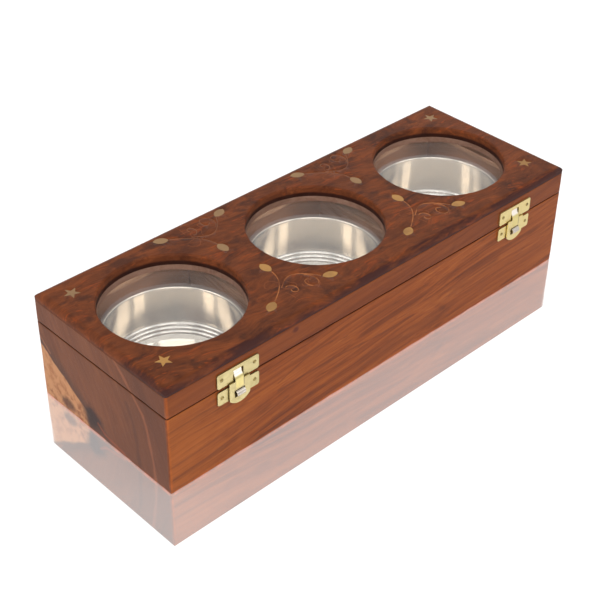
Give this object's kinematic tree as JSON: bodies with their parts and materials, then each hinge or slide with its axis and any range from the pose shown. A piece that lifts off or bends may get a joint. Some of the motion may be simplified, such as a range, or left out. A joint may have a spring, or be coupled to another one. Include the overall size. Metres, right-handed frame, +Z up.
{
  "type": "wooden spice box",
  "caption": "Long wooden spice box with a hinged lid: round glazed windows over polished steel bowls, brass star, leaf and vine inlay, brass clasps and butt hinges",
  "frame": {"origin": "the centre of the underside: halfway along the box, halfway between the catches at the front and the hinges at the back, on the surface it stands on", "axes": "X runs along the box to the right as seen from the clasps, Y from the clasps at the front to the hinges at the back, Z up"},
  "size_m": [0.305, 0.115, 0.0673],
  "materials": {
    "box_wood": "orange-brown hardwood with fine lengthwise grain, waxed",
    "lid_top_wood": "dark red-brown hardwood with orange streaks, waxed",
    "inner_wood": "plain hardwood, waxed",
    "clasp_brass": "pale yellow pressed brass, satin",
    "hinge_brass": "yellow brass, satin",
    "nail_brass": "brass, slightly dull",
    "inlay_brass": "brass filed flush with the wood, worn",
    "vine_brass": "thin brass, dulled",
    "bowl_steel": "polished stainless steel",
    "window_glass": "clear flat glass"
  },
  "bodies": {
    "base": {"front_wall": "box_wood", "back_wall": "box_wood", "left_wall": "box_wood", "right_wall": "box_wood", "floor_board": "inner_wood", "left_partition": "inner_wood", "right_partition": "inner_wood", "left_clasp_base_plate": "clasp_brass", "right_clasp_base_plate": "clasp_brass", "left_catch": "clasp_brass", "right_catch": "clasp_brass", "left_hinge_base_leaf": "hinge_brass", "right_hinge_base_leaf": "hinge_brass", "left_hinge_pin": "hinge_brass", "right_hinge_pin": "hinge_brass", "base_nails": "nail_brass"},
    "lid": {"lid_front_rail": "box_wood", "lid_back_rail": "box_wood", "lid_left_rail": "box_wood", "lid_right_rail": "box_wood", "lid_top_board": "lid_top_wood", "lid_lining_board": "inner_wood", "glass_pane": "window_glass", "front_batten": "inner_wood", "back_batten": "inner_wood", "left_batten": "inner_wood", "right_batten": "inner_wood", "brass_stars": "inlay_brass", "brass_leaves": "inlay_brass", "brass_vines": "vine_brass", "left_clasp_lid_plate": "clasp_brass", "right_clasp_lid_plate": "clasp_brass", "left_clasp_pin": "clasp_brass", "right_clasp_pin": "clasp_brass", "left_hinge_lid_leaf": "hinge_brass", "right_hinge_lid_leaf": "hinge_brass", "lid_nails": "nail_brass"},
    "left_hasp": {"left_hasp": "clasp_brass"},
    "right_hasp": {"right_hasp": "clasp_brass"},
    "left_bowl": {"left_bowl": "bowl_steel"},
    "middle_bowl": {"middle_bowl": "bowl_steel"},
    "right_bowl": {"right_bowl": "bowl_steel"}
  },
  "joints": [
    {"name": "lid_hinge", "type": "hinge", "parent": "base", "child": "lid", "pos_m": [0, 0.0559, 0.0494], "axis": [-1, 0, 0], "range_deg": [0, 180], "deforming": ["left_catch", "right_catch"]},
    {"name": "left_hasp_swing", "type": "hinge", "parent": "lid", "child": "left_hasp", "pos_m": [-0.1075, -0.0532, 0.05525], "axis": [-1, 0, 0], "range_deg": [0, 90]},
    {"name": "right_hasp_swing", "type": "hinge", "parent": "lid", "child": "right_hasp", "pos_m": [0.1075, -0.0532, 0.05525], "axis": [-1, 0, 0], "range_deg": [0, 90]},
    {"name": "left_bowl_lift", "type": "slide", "parent": "base", "child": "left_bowl", "axis": [0, 0, 1], "range_m": [0, 0.006]},
    {"name": "middle_bowl_lift", "type": "slide", "parent": "base", "child": "middle_bowl", "axis": [0, 0, 1], "range_m": [0, 0.006]},
    {"name": "right_bowl_lift", "type": "slide", "parent": "base", "child": "right_bowl", "axis": [0, 0, 1], "range_m": [0, 0.006]}
  ]
}
